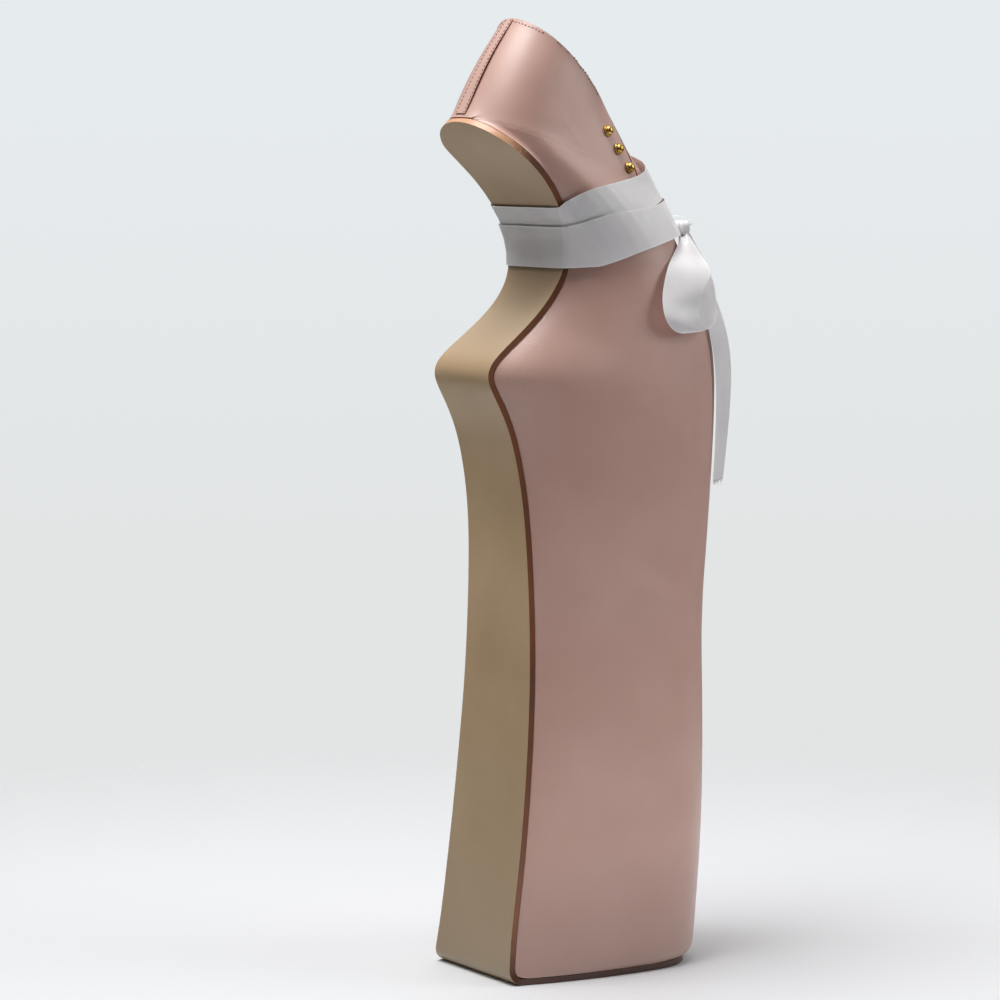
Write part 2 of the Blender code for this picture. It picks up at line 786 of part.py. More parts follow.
def main():
    for old in list(bpy.data.objects):
        bpy.data.objects.remove(old)
    make_outsole()
    make_upper()
    make_platform()
    make_insole()
    make_back_strip()
    make_underlap()
    for number, (height, angle) in enumerate(STUDS, 1):
        make_stud(f"stud_{number}", height, angle)
    for name, (marks, layer) in TURNS.items():
        make_turn(name, marks, layer)
    make_knot()
    for name, shape in LOOPS.items():
        make_loop(name, *shape)
    for name, shape in TAILS.items():
        make_tail(name, *shape)


main()
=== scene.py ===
"""The looks of a platform ballet heel: pink leather drawn over a tall platform, one strip of sole
leather with a burnished edge, gold studs, and a satin ribbon tied in a bow.

Everything is in metres, in the part's own frame: toe +X, up +Z, outer side -Y, floor at Z = 0.
"""

import math
import random

import bmesh
import bpy
import numpy as np
from mathutils import Matrix, Vector, noise
from mathutils.bvhtree import BVHTree
from mathutils.kdtree import KDTree


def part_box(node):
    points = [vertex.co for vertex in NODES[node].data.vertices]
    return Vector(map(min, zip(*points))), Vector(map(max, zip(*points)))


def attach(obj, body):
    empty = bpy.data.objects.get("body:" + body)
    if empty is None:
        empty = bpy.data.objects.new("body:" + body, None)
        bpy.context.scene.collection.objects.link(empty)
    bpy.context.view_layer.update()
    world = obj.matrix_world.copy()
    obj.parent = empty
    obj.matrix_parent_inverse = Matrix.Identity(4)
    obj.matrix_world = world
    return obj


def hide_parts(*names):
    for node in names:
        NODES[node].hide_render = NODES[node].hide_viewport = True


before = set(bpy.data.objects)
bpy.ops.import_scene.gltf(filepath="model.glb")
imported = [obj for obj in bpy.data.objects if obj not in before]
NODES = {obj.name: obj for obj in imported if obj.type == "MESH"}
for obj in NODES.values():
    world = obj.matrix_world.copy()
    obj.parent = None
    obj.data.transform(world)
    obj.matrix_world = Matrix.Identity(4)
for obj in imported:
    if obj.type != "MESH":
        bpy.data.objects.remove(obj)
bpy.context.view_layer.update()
MM = 0.001

VIEW = {
    "place": (-1.006, -1.428, 0.408),
    "heading": 34.0,  # degrees from +Y towards +X
    "down": 5.9,
    "lens": 129.6,
}

# The directions of the bow: to the viewer's right, up, and away from where the shoe is seen.
HEADING = math.radians(VIEW["heading"])
SIDE = Vector((math.cos(HEADING), -math.sin(HEADING), 0))
AWAY = Vector((math.sin(HEADING), math.cos(HEADING), 0))

# Sizes of the finish.
RIBBON = 20 * MM
LONG = 2.5 * MM  # edges of packed ribbon longer than this are cut, so that its bends stay tight
THREAD = {"length": 1.35 * MM, "thick": 0.5 * MM, "pitch": 2.0 * MM}
COLLAR = {"above": 0.4, "before": -0.04, "corner": 50}  # where its edges lie, and their least angle
TOPLINE_IN = 1.8 * MM  # the row of stitches below the collar's edge
STRIP_IN = 0.9 * MM  # and inside the edges of the strip over the back seam
HEEL_ROLL = {"before": -0.02, "below": 0.425, "rim": 0.9 * MM}  # where the skin rolls to the sole
HEEL_EASE = 80 * MM  # reach of the skin that is eased round the heel tip
EASE_ROUNDS = 150  # and how many times
ROLL = 0.5 * MM  # radius of the leather's turned edges
PAINT_ROUND = 0.45 * MM  # rounding of the sole's painted edge
STRIP_ROUND = 0.2 * MM  # and of the strip over the back seam
STRIP_PARED = 0.4  # share of its packed distance from the upper that the pared strip keeps

KNOT_SHIFT = Vector((-1.6, -1.2, 0))  # how far the drawn knot hangs from its solid's middle, in mm

# How high the painted shade near the floor reaches on each leather, in metres, and how strong it is
# at the floor.
FLOOR_SHADE = {"pink": (0.065, 0.75), "sole": (0.19, 0.9), "edge": (0.03, 0.9)}

# Soft dents of the leather: from, to, depth and reach, in metres.
TROUGHS = (
    ((0.006, -0.042, 0.203), (0.036, -0.042, 0.189), 0.0006, 0.008),
    ((0.002, -0.042, 0.193), (0.050, -0.038, 0.174), -0.0004, 0.008),
    ((-0.030, -0.030, 0.420), (-0.016, -0.032, 0.396), 0.0009, 0.017),
    ((-0.040, -0.034, 0.322), (-0.008, -0.037, 0.306), 0.0005, 0.009),
)

# The outer loop: the left and right edges of its ribbon from the knot down, round
# and back up, each in millimetres from the knot's middle: to the right, up and away.
OUTER_LOOP = (
    ((-3.2, -4.6, -1.0), (0.6, -1.4, -0.5)),
    ((-3.6, -8.6, -9.0), (3.5, -7.2, -5.0)),
    ((-6.0, -12.8, -15.5), (7.6, -14.2, -9.5)),
    ((-9.4, -19.6, -25.0), (11.6, -21.9, -16.0)),
    ((-11.9, -30.2, -32.0), (7.9, -30.3, -22.0)),
    ((-12.1, -38.2, -36.0), (5.5, -38.3, -24.0)),
    ((-10.4, -44.4, -37.0), (6.5, -45.0, -24.0)),
    ((-6.0, -49.7, -34.0), (10.0, -49.0, -20.0)),
    ((-0.9, -50.5, -29.0), (13.2, -47.9, -15.0)),
    ((2.7, -46.5, -23.5), (15.1, -42.6, -9.5)),
    ((3.9, -37.6, -18.0), (14.8, -32.8, -6.5)),
    ((2.8, -26.5, -13.0), (12.7, -24.0, -5.0)),
    ((1.5, -15.2, -10.0), (7.0, -12.5, -4.0)),
    ((-0.8, -5.8, -3.5), (2.0, -4.0, -1.5)),
)


def paint(red, green, blue):
    """A colour as a screen shows it, 0 to 255, in the linear values that shaders take."""
    channels = [c / 255 for c in (red, green, blue)]
    return (*[c / 12.92 if c < 0.04 else ((c + 0.055) / 1.055) ** 2.4 for c in channels], 1)


COLOURS = {
    "pink": paint(222, 181, 168),
    "pink_deep": paint(209, 165, 151),
    # painted shade: the pink darkened towards the floor
    "pink_floor_shade": paint(163, 132, 122),
    "lining": paint(226, 204, 192),
    "cut_edge": paint(186, 138, 126),
    "thread": paint(132, 80, 74),
    "beige": paint(196, 168, 130),
    "beige_deep": paint(180, 149, 112),
    # painted shade: the beige darkened towards the floor
    "beige_floor_shade": paint(143, 122, 94),
    "burnish": paint(146, 84, 46),
    "burnish_dark": paint(98, 52, 28),
    # painted shade: the brown edge darkened towards the floor
    "burnish_floor_shade": paint(62, 32, 20),
    "peach": paint(226, 168, 128),
    "chip": paint(236, 214, 190),
    "gold": paint(248, 220, 140),
    "gold_deep": paint(206, 166, 84),
    "satin": paint(250, 248, 249),
    "satin_shade": paint(240, 236, 238),
    "cork": paint(176, 134, 92),
    "cork_dark": paint(120, 84, 54),
    "sock": paint(214, 188, 170),
    "sock_deep": paint(196, 168, 150),
}


# ---- camera, light and floor --------------------------------------------------------------------


def make_camera():
    lens = bpy.data.cameras.new("view")
    lens.lens = VIEW["lens"]
    lens.sensor_width = 36
    lens.clip_end = 20
    camera = bpy.data.objects.new("view", lens)
    camera.location = VIEW["place"]
    tilt, turn = math.radians(90 - VIEW["down"]), math.radians(-VIEW["heading"])
    camera.rotation_euler = (tilt, 0, turn)
    bpy.context.collection.objects.link(camera)
    bpy.context.scene.camera = camera
    bpy.context.scene.view_settings.view_transform = "Standard"


def make_light(name, place, target, size, power):
    """A soft square light that looks at a point."""
    lamp = bpy.data.lights.new(name, "AREA")
    lamp.shape = "SQUARE"
    lamp.size = size
    lamp.energy = power
    light = bpy.data.objects.new(name, lamp)
    light.location = place
    aim = Vector(target) - Vector(place)
    light.rotation_euler = aim.to_track_quat("-Z", "Y").to_euler()
    bpy.context.collection.objects.link(light)


def make_world():
    """A pale backdrop. What it lights with is brighter above and behind the shoe than before it."""
    world = bpy.data.worlds.new("studio")
    world.use_nodes = True
    tree = world.node_tree
    tree.nodes.clear()
    direction = tree.nodes.new("ShaderNodeTexCoord")
    split = tree.nodes.new("ShaderNodeSeparateXYZ")
    tree.links.new(direction.outputs["Generated"], split.inputs[0])
    behind = tree.nodes.new("ShaderNodeVectorMath")
    behind.operation = "DOT_PRODUCT"
    behind.inputs[1].default_value = AWAY
    tree.links.new(direction.outputs["Generated"], behind.inputs[0])
    rear = tree.nodes.new("ShaderNodeMapRange")
    rear.inputs["From Min"].default_value = -0.5
    rear.inputs["From Max"].default_value = 0.6
    rear.inputs["To Min"].default_value = 0.4
    rear.inputs["To Max"].default_value = 1.1
    tree.links.new(behind.outputs["Value"], rear.inputs["Value"])
    height = tree.nodes.new("ShaderNodeMapRange")
    height.inputs["From Min"].default_value = -0.15
    height.inputs["From Max"].default_value = 0.9
    tree.links.new(split.outputs["Z"], height.inputs["Value"])
    lit = tree.nodes.new("ShaderNodeValToRGB")
    lit.color_ramp.elements[0].color = (0.30, 0.30, 0.30, 1)
    lit.color_ramp.elements[1].color = (1.0, 1.0, 1.0, 1)
    tree.links.new(height.outputs[0], lit.inputs[0])
    light = tree.nodes.new("ShaderNodeBackground")
    strength = tree.nodes.new("ShaderNodeMath")
    strength.operation = "MULTIPLY"
    strength.inputs[1].default_value = 0.44
    tree.links.new(rear.outputs[0], strength.inputs[0])
    tree.links.new(strength.outputs[0], light.inputs["Strength"])
    tree.links.new(lit.outputs[0], light.inputs["Color"])
    backdrop = tree.nodes.new("ShaderNodeBackground")
    shade = tree.nodes.new("ShaderNodeValToRGB")
    shade.color_ramp.elements[0].position = 0.03
    shade.color_ramp.elements[0].color = paint(227, 229, 229)
    shade.color_ramp.elements[1].position = 0.16
    shade.color_ramp.elements[1].color = paint(230, 235, 238)
    tree.links.new(height.outputs[0], shade.inputs[0])
    tree.links.new(shade.outputs[0], backdrop.inputs["Color"])
    seen = tree.nodes.new("ShaderNodeLightPath")
    mix = tree.nodes.new("ShaderNodeMixShader")
    tree.links.new(seen.outputs["Is Camera Ray"], mix.inputs[0])
    tree.links.new(light.outputs[0], mix.inputs[1])
    tree.links.new(backdrop.outputs[0], mix.inputs[2])
    out = tree.nodes.new("ShaderNodeOutputWorld")
    tree.links.new(mix.outputs[0], out.inputs[0])
    bpy.context.scene.world = world


def make_floor():
    """A pale round floor that fades into the backdrop."""
    work = bmesh.new()
    bmesh.ops.create_circle(work, cap_ends=True, segments=96, radius=1.1)
    mesh = bpy.data.meshes.new("floor")
    work.to_mesh(mesh)
    work.free()
    floor = bpy.data.objects.new("floor", mesh)
    bpy.context.collection.objects.link(floor)
    material = bpy.data.materials.new("pale_floor")
    material.use_nodes = True
    tree = material.node_tree
    surface = tree.nodes["Principled BSDF"]
    surface.inputs["Base Color"].default_value = (0.79, 0.80, 0.82, 1)
    surface.inputs["Roughness"].default_value = 0.55
    where = tree.nodes.new("ShaderNodeTexCoord")
    far = tree.nodes.new("ShaderNodeVectorMath")
    far.operation = "LENGTH"
    tree.links.new(where.outputs["Object"], far.inputs[0])
    fade = tree.nodes.new("ShaderNodeMapRange")
    fade.interpolation_type = "SMOOTHSTEP"
    fade.inputs["From Min"].default_value = 0.30
    fade.inputs["From Max"].default_value = 0.75
    fade.inputs["To Min"].default_value = 1.0
    fade.inputs["To Max"].default_value = 0.0
    tree.links.new(far.outputs["Value"], fade.inputs["Value"])
    tree.links.new(fade.outputs[0], surface.inputs["Alpha"])
    mesh.materials.append(material)


# ---- shared shading -----------------------------------------------------------------------------


def new_group(name, inputs, outputs):
    """A shader node group with named inputs and outputs: its tree, its input and output nodes."""
    group = bpy.data.node_groups.new(name, "ShaderNodeTree")
    for label, kind, value in inputs:
        socket = group.interface.new_socket(label, in_out="INPUT", socket_type=kind)
        socket.default_value = value
    for label, kind in outputs:
        group.interface.new_socket(label, in_out="OUTPUT", socket_type=kind)
    return group, group.nodes.new("NodeGroupInput"), group.nodes.new("NodeGroupOutput")


def node(tree, kind, links=(), **values):
    """A node with some settings, default values and incoming links."""
    made = tree.nodes.new(kind)
    for key, value in values.items():
        if key in made.inputs:
            made.inputs[key].default_value = value
        elif key.replace("_", " ") in made.inputs:
            made.inputs[key.replace("_", " ")].default_value = value
        else:
            setattr(made, key, value)
    for socket, source in links:
        tree.links.new(source, made.inputs[socket])
    return made


def make_grain_group():
    """Fine pores and soft unevenness of a skin, as a bumped normal."""
    group, given, out = new_group(
        "leather_grain",
        [
            ("Pores", "NodeSocketFloat", 1800.0),
            ("Pore Height", "NodeSocketFloat", 0.1),
            ("Waves", "NodeSocketFloat", 28.0),
            ("Wave Height", "NodeSocketFloat", 0.3),
        ],
        [("Normal", "NodeSocketVector"), ("Pits", "NodeSocketFloat")],
    )
    where = node(group, "ShaderNodeTexCoord").outputs["Object"]
    pores = node(
        group, "ShaderNodeTexVoronoi", [("Vector", where), ("Scale", given.outputs["Pores"])],
        feature="SMOOTH_F1",
    )  # fmt: skip
    waves = node(
        group, "ShaderNodeTexNoise", [("Vector", where), ("Scale", given.outputs["Waves"])],
        Detail=2.0, Roughness=0.45,
    )  # fmt: skip
    broad = node(
        group, "ShaderNodeBump",
        [("Height", waves.outputs["Fac"]), ("Strength", given.outputs["Wave Height"])],
        Distance=0.004,
    )  # fmt: skip
    fine = node(
        group, "ShaderNodeBump",
        [
            ("Height", pores.outputs["Distance"]),
            ("Strength", given.outputs["Pore Height"]),
            ("Normal", broad.outputs["Normal"]),
        ],
        Distance=0.0002,
    )  # fmt: skip
    group.links.new(fine.outputs["Normal"], out.inputs["Normal"])
    group.links.new(pores.outputs["Distance"], out.inputs["Pits"])
    return group


def make_tone_group():
    """Two colours of one skin or cloth, drifting into each other over the surface."""
    group, given, out = new_group(
        "drifting_tone",
        [
            ("Colour", "NodeSocketColor", (0.5, 0.5, 0.5, 1)),
            ("Second", "NodeSocketColor", (0.4, 0.4, 0.4, 1)),
            ("Scale", "NodeSocketFloat", 14.0),
            ("Speckle", "NodeSocketFloat", 0.06),
        ],
        [("Colour", "NodeSocketColor"), ("Fac", "NodeSocketFloat")],
    )
    where = node(group, "ShaderNodeTexCoord").outputs["Object"]
    drift = node(
        group, "ShaderNodeTexNoise", [("Vector", where), ("Scale", given.outputs["Scale"])],
        Detail=4.0, Roughness=0.5,
    )  # fmt: skip
    speck = node(group, "ShaderNodeTexNoise", [("Vector", where)], Scale=900.0, Detail=2.0)
    small = node(
        group, "ShaderNodeMath",
        [(0, speck.outputs["Fac"]), (1, given.outputs["Speckle"])], operation="MULTIPLY",
    )  # fmt: skip
    share = node(
        group, "ShaderNodeMath", [(0, drift.outputs["Fac"]), (1, small.outputs[0])], operation="ADD"
    )
    range_ = node(
        group, "ShaderNodeMapRange", [("Value", share.outputs[0])], From_Min=0.35, From_Max=0.7
    )
    mix = node(
        group, "ShaderNodeMix",
        [(0, range_.outputs[0]), (6, given.outputs["Colour"]), (7, given.outputs["Second"])],
        data_type="RGBA",
    )  # fmt: skip
    group.links.new(mix.outputs[2], out.inputs["Colour"])
    group.links.new(range_.outputs[0], out.inputs["Fac"])
    return group


def make_patch_group():
    """A mask about a place of the shoe, broken up by noise: for wear, chips and scuffs."""
    group, given, out = new_group(
        "worn_patch",
        [
            ("Centre", "NodeSocketVector", (0, 0, 0)),
            ("Reach", "NodeSocketVector", (0.01, 0.01, 0.01)),
            ("Scale", "NodeSocketFloat", 400.0),
            ("Threshold", "NodeSocketFloat", 0.5),
        ],
        [("Mask", "NodeSocketFloat")],
    )
    where = node(group, "ShaderNodeTexCoord").outputs["Object"]
    off = node(
        group, "ShaderNodeVectorMath", [(0, where), (1, given.outputs["Centre"])],
        operation="SUBTRACT",
    )  # fmt: skip
    scaled = node(
        group, "ShaderNodeVectorMath", [(0, off.outputs[0]), (1, given.outputs["Reach"])],
        operation="DIVIDE",
    )  # fmt: skip
    far = node(group, "ShaderNodeVectorMath", [(0, scaled.outputs[0])], operation="LENGTH")
    near = node(
        group, "ShaderNodeMapRange", [("Value", far.outputs["Value"])],
        From_Min=1.0, From_Max=0.0, To_Min=0.0, To_Max=1.0, interpolation_type="SMOOTHSTEP",
    )  # fmt: skip
    spots = node(
        group, "ShaderNodeTexNoise", [("Vector", where), ("Scale", given.outputs["Scale"])],
        Detail=3.0, Roughness=0.6,
    )  # fmt: skip
    cut = node(
        group, "ShaderNodeMath", [(0, spots.outputs["Fac"]), (1, given.outputs["Threshold"])],
        operation="SUBTRACT",
    )  # fmt: skip
    sharp = node(
        group, "ShaderNodeMath", [(0, cut.outputs[0])], operation="MULTIPLY", use_clamp=True
    )
    sharp.inputs[1].default_value = 14.0
    both = node(
        group, "ShaderNodeMath", [(0, near.outputs[0]), (1, sharp.outputs[0])], operation="MULTIPLY"
    )
    group.links.new(both.outputs[0], out.inputs["Mask"])
    return group


GRAIN = make_grain_group()
TONE = make_tone_group()
PATCH = make_patch_group()


def new_material(name, **values):
    """A named material, its tree and its shader with some constants set."""
    material = bpy.data.materials.new(name)
    material.use_nodes = True
    shader = material.node_tree.nodes["Principled BSDF"]
    for key, value in values.items():
        shader.inputs[key.replace("_", " ")].default_value = value
    return material, material.node_tree, shader


def use_group(tree, group, links=(), **values):
    made = node(tree, "ShaderNodeGroup", node_tree=group)
    for key, value in values.items():
        made.inputs[key.replace("_", " ")].default_value = value
    for socket, source in links:
        tree.links.new(source, made.inputs[socket])
    return made


def blend(tree, share, first, second):
    """One colour over another by a mask: the second is a colour or a socket."""
    mix = node(tree, "ShaderNodeMix", data_type="RGBA")
    tree.links.new(share, mix.inputs[0])
    for place, source in ((6, first), (7, second)):
        if isinstance(source, tuple):
            mix.inputs[place].default_value = source
        else:
            tree.links.new(source, mix.inputs[place])
    return mix.outputs[2]


def leather(name, colour, second, roughness, **grain):
    """Smooth dressed leather: two tones of one colour, and the grain's normal."""
    material, tree, shader = new_material(name, Roughness=roughness)
    tone = use_group(tree, TONE, Colour=COLOURS[colour], Second=COLOURS[second])
    skin = use_group(tree, GRAIN, **grain)
    tree.links.new(tone.outputs["Colour"], shader.inputs["Base Color"])
    tree.links.new(skin.outputs["Normal"], shader.inputs["Normal"])
    gloss = node(
        tree, "ShaderNodeMapRange", [("Value", tone.outputs["Fac"])],
        To_Min=roughness - 0.04, To_Max=roughness + 0.05,
    )  # fmt: skip
    tree.links.new(gloss.outputs[0], shader.inputs["Roughness"])
    return material, tree, shader, tone


def floor_shade_share(tree, height, most, shape="LINEAR"):
    """A mask for painted shade near the floor: strongest at the floor, it fades out at a height."""
    where = node(tree, "ShaderNodeTexCoord")
    place = node(tree, "ShaderNodeSeparateXYZ", [(0, where.outputs["Object"])])
    share = node(
        tree, "ShaderNodeMapRange", [("Value", place.outputs["Z"])], From_Min=0.0, From_Max=height,
        To_Min=most, To_Max=0.0, interpolation_type=shape,
    )  # fmt: skip
    return share.outputs[0]


def make_pink_leather():
    material, tree, shader, tone = leather(
        "pink_leather", "pink", "pink_deep", 0.42, Wave_Height=0.16, Pore_Height=0.12
    )
    shader.inputs["Coat Weight"].default_value = 0.8
    shader.inputs["Coat Roughness"].default_value = 0.38
    shader.inputs["Sheen Weight"].default_value = 0.15
    shader.inputs["Sheen Roughness"].default_value = 0.4
    shader.inputs["Sheen Tint"].default_value = COLOURS["pink"]
    scuff = use_group(
        tree, PATCH, Centre=(-0.045, -0.026, 0.296), Reach=(0.02, 0.008, 0.03), Scale=900.0,
        Threshold=0.6,
    )  # fmt: skip
    # Painted shade: the pink is darkened towards the floor, where the leather lies in shade.
    foot = floor_shade_share(tree, *FLOOR_SHADE["pink"])
    floor_shaded = blend(tree, foot, tone.outputs["Colour"], COLOURS["pink_floor_shade"])
    worn = blend(tree, scuff.outputs["Mask"], floor_shaded, COLOURS["chip"])
    tree.links.new(worn, shader.inputs["Base Color"])
    return material


def make_lining():
    return leather("lining_leather", "lining", "sock", 0.6, Pore_Height=0.3)[0]


def make_cut_edge():
    return leather("cut_edge", "cut_edge", "pink_deep", 0.7, Pores=2600.0, Pore_Height=0.5)[0]


def make_sole_leather():
    material, tree, shader, tone = leather(
        "sole_leather", "beige", "beige_deep", 0.46, Pores=2400.0, Pore_Height=0.14,
        Waves=18.0, Wave_Height=0.12,
    )  # fmt: skip
    shader.inputs["Coat Weight"].default_value = 0.5
    shader.inputs["Coat Roughness"].default_value = 0.28
    # Painted shade: the sole leather is darkened towards the floor.
    foot = floor_shade_share(tree, *FLOOR_SHADE["sole"])
    floor_shaded = blend(tree, foot, tone.outputs["Colour"], COLOURS["beige_floor_shade"])
    tree.links.new(floor_shaded, shader.inputs["Base Color"])
    return material


def make_burnished_edge():
    """The sole's painted edge: brown, paler round the heel tip, with small chips there, and
    darkened towards the floor as painted shade.
    """
    material, tree, shader, tone = leather(
        "burnished_edge", "burnish", "burnish_dark", 0.38, Pores=1200.0, Pore_Height=0.35
    )
    shader.inputs["Coat Weight"].default_value = 0.3
    shader.inputs["Coat Roughness"].default_value = 0.25
    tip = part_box("outsole")[0].x
    place = node(tree, "ShaderNodeSeparateXYZ")
    where = node(tree, "ShaderNodeTexCoord")
    tree.links.new(where.outputs["Object"], place.inputs[0])
    along = node(
        tree, "ShaderNodeMapRange", [("Value", place.outputs["X"])], From_Min=tip + 0.009,
        From_Max=tip + 0.024, To_Min=1.0, To_Max=0.0, interpolation_type="SMOOTHSTEP",
    )  # fmt: skip
    high = node(
        tree, "ShaderNodeMapRange", [("Value", place.outputs["Z"])], From_Min=0.385, From_Max=0.395
    )
    pale = node(
        tree, "ShaderNodeMath", [(0, along.outputs[0]), (1, high.outputs[0])], operation="MULTIPLY"
    )
    chips = use_group(
        tree, PATCH, Centre=(-0.052, -0.026, 0.4), Reach=(0.014, 0.01, 0.014), Scale=700.0,
        Threshold=0.55,
    )  # fmt: skip
    # Painted shade: the edge is darkened towards the floor.
    foot = floor_shade_share(tree, *FLOOR_SHADE["edge"], "SMOOTHSTEP")
    floor_shaded = blend(tree, foot, tone.outputs["Colour"], COLOURS["burnish_floor_shade"])
    faded = blend(tree, pale.outputs[0], floor_shaded, COLOURS["peach"])
    chipped = blend(tree, chips.outputs["Mask"], faded, COLOURS["chip"])
    tree.links.new(chipped, shader.inputs["Base Color"])
    return material


def make_gold():
    material, tree, shader = new_material("polished_gold", Metallic=1.0, Roughness=0.2)
    tone = use_group(
        tree, TONE, Colour=COLOURS["gold"], Second=COLOURS["gold_deep"], Scale=260.0, Speckle=0.3
    )
    tree.links.new(tone.outputs["Colour"], shader.inputs["Base Color"])
    gloss = node(
        tree, "ShaderNodeMapRange", [("Value", tone.outputs["Fac"])], To_Min=0.14, To_Max=0.32
    )
    tree.links.new(gloss.outputs[0], shader.inputs["Roughness"])
    return material


def make_satin():
    """Satin ribbon: fine ribs along it, brighter selvedges, and a soft silk sheen."""
    material, tree, shader = new_material("white_satin", Roughness=0.42)
    shader.inputs["Sheen Weight"].default_value = 0.35
    shader.inputs["Sheen Roughness"].default_value = 0.35
    shader.inputs["Specular IOR Level"].default_value = 0.6
    tone = use_group(
        tree, TONE, Colour=COLOURS["satin"], Second=COLOURS["satin_shade"], Scale=40.0, Speckle=0.1
    )
    lie = node(tree, "ShaderNodeUVMap", uv_map="weave")
    split = node(tree, "ShaderNodeSeparateXYZ", [(0, lie.outputs[0])])
    rib = node(tree, "ShaderNodeTexWave", [("Vector", lie.outputs[0])], Scale=420.0, Distortion=0.6)
    rib.bands_direction = "X"
    selvedge = node(
        tree, "ShaderNodeMapRange", [("Value", split.outputs["X"])], From_Min=0.0009,
        From_Max=0.0003, To_Min=0.0, To_Max=1.0,
    )  # fmt: skip
    tint = blend(tree, selvedge.outputs[0], tone.outputs["Colour"], (1.0, 1.0, 1.0, 1))
    tree.links.new(tint, shader.inputs["Base Color"])
    raised = node(
        tree, "ShaderNodeMath", [(0, selvedge.outputs[0]), (1, rib.outputs["Fac"])],
        operation="ADD",
    )  # fmt: skip
    bump = node(
        tree, "ShaderNodeBump", [("Height", raised.outputs[0])], Strength=0.1, Distance=0.00008
    )
    tree.links.new(bump.outputs["Normal"], shader.inputs["Normal"])
    return material


def make_cork():
    material, tree, shader = new_material("platform_cork", Roughness=0.85)
    tone = use_group(
        tree, TONE, Colour=COLOURS["cork"], Second=COLOURS["cork_dark"], Scale=320.0, Speckle=0.5
    )
    skin = use_group(tree, GRAIN, Pores=500.0, Pore_Height=0.8)
    tree.links.new(tone.outputs["Colour"], shader.inputs["Base Color"])
    tree.links.new(skin.outputs["Normal"], shader.inputs["Normal"])
    return material


def make_sock():
    return leather("insole_leather", "sock", "sock_deep", 0.62, Pore_Height=0.35)[0]


def make_thread():
    material, tree, shader = new_material("waxed_thread", Roughness=0.6)
    tone = use_group(
        tree, TONE, Colour=COLOURS["thread"], Second=COLOURS["pink_deep"], Scale=500.0, Speckle=0.3
    )
    tree.links.new(tone.outputs["Colour"], shader.inputs["Base Color"])
    return material


# ---- working on meshes --------------------------------------------------------------------------


def copy_of(name):
    """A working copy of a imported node's triangles, merged, with its hard edges marked."""
    work = bmesh.new()
    work.from_mesh(NODES[name].data)
    bmesh.ops.remove_doubles(work, verts=work.verts, dist=0.00001)
    for edge in work.edges:
        edge.smooth = edge.calc_face_angle(0) < math.radians(40)
    return work


def square_up(work):
    """Join a copy's triangles back into four-sided faces, but not over its hard edges."""
    bmesh.ops.join_triangles(
        work, faces=work.faces, cmp_sharp=True, angle_face_threshold=math.radians(60),
        angle_shape_threshold=math.radians(60),
    )  # fmt: skip
    work.normal_update()


def packed_tree(name):
    """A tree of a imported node's faces."""
    work = bmesh.new()
    work.from_mesh(NODES[name].data)
    tree = BVHTree.FromBMesh(work)
    work.free()
    return tree


SOLE_TREE = packed_tree("outsole")


def spread(seed, limit=40.0, rolls=False):
    """The faces reached from a seed face without crossing an edge sharper than a limit."""
    reached, todo = {seed}, [seed]
    while todo:
        for edge in todo.pop().edges:
            if not is_corner(edge, limit, rolls):
                new = set(edge.link_faces) - reached
                reached |= new
                todo.extend(new)
    return reached


def is_corner(edge, limit, rolls):
    """Whether an edge is open or sharper than a limit, the skin's roll at the heel left out."""
    if len(edge.link_faces) != 2:
        return True
    if edge.calc_face_angle() < math.radians(limit):
        return False
    middle = (edge.verts[0].co + edge.verts[1].co) / 2
    if not rolls or middle.x > HEEL_ROLL["before"] or middle.z > HEEL_ROLL["below"]:
        return True
    return SOLE_TREE.find_nearest(middle)[3] < HEEL_ROLL["rim"]


def crease_edges(work, limit=40.0, rolls=False):
    """Keep a copy's corners hard under subdivision."""
    layer = work.edges.layers.float.new("crease_edge")
    for edge in work.edges:
        if is_corner(edge, limit, rolls):
            edge[layer] = 1.0


def as_piece(work, name, materials):
    """Turn finished work into a piece of the shoe that rides on its body."""
    mesh = bpy.data.meshes.new(name)
    work.to_mesh(mesh)
    work.free()
    for material in materials:
        mesh.materials.append(material)
    mesh.shade_smooth()
    piece = bpy.data.objects.new(name, mesh)
    bpy.context.collection.objects.link(piece)
    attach(piece, "root")
    return piece


def subdivide(piece, levels):
    """Subdivide a piece and keep the result as its mesh."""
    smooth = piece.modifiers.new("smooth", "SUBSURF")
    smooth.levels = smooth.render_levels = levels
    made = bpy.data.meshes.new_from_object(
        piece.evaluated_get(bpy.context.evaluated_depsgraph_get())
    )
    piece.modifiers.clear()
    piece.data = made
    made.shade_smooth()
    return made


def round_edges(piece, radius, material=-1, rolls=False):
    """Round the hard edges of a finely divided piece."""
    work = bmesh.new()
    work.from_mesh(piece.data)
    hard = [e for e in work.edges if is_corner(e, 50, rolls)]
    bmesh.ops.bevel(
        work, geom=hard, offset=radius, segments=3, profile=0.5, affect="EDGES",
        material=material, clamp_overlap=True,
    )  # fmt: skip
    work.to_mesh(piece.data)
    work.free()
    piece.data.shade_smooth()


def tree_of(piece, material=0):
    """A tree of a piece's faces of one material, for finding points on them."""
    work = bmesh.new()
    work.from_mesh(piece.data)
    others = [f for f in work.faces if f.material_index != material]
    bmesh.ops.delete(work, geom=others, context="FACES")
    tree = BVHTree.FromBMesh(work)
    work.free()
    return tree


def resample(points, step):
    """Points an even step apart along a line of points."""
    points = [Vector(p) for p in points]
    reach = [0.0]
    for a, b in zip(points, points[1:]):
        reach.append(reach[-1] + (b - a).length)
    count = max(int(reach[-1] / step), 2)
    places = np.linspace(0, reach[-1], count + 1)
    axes = [np.interp(places, reach, [p[i] for p in points]) for i in range(3)]
    return [Vector(p) for p in zip(*axes)]


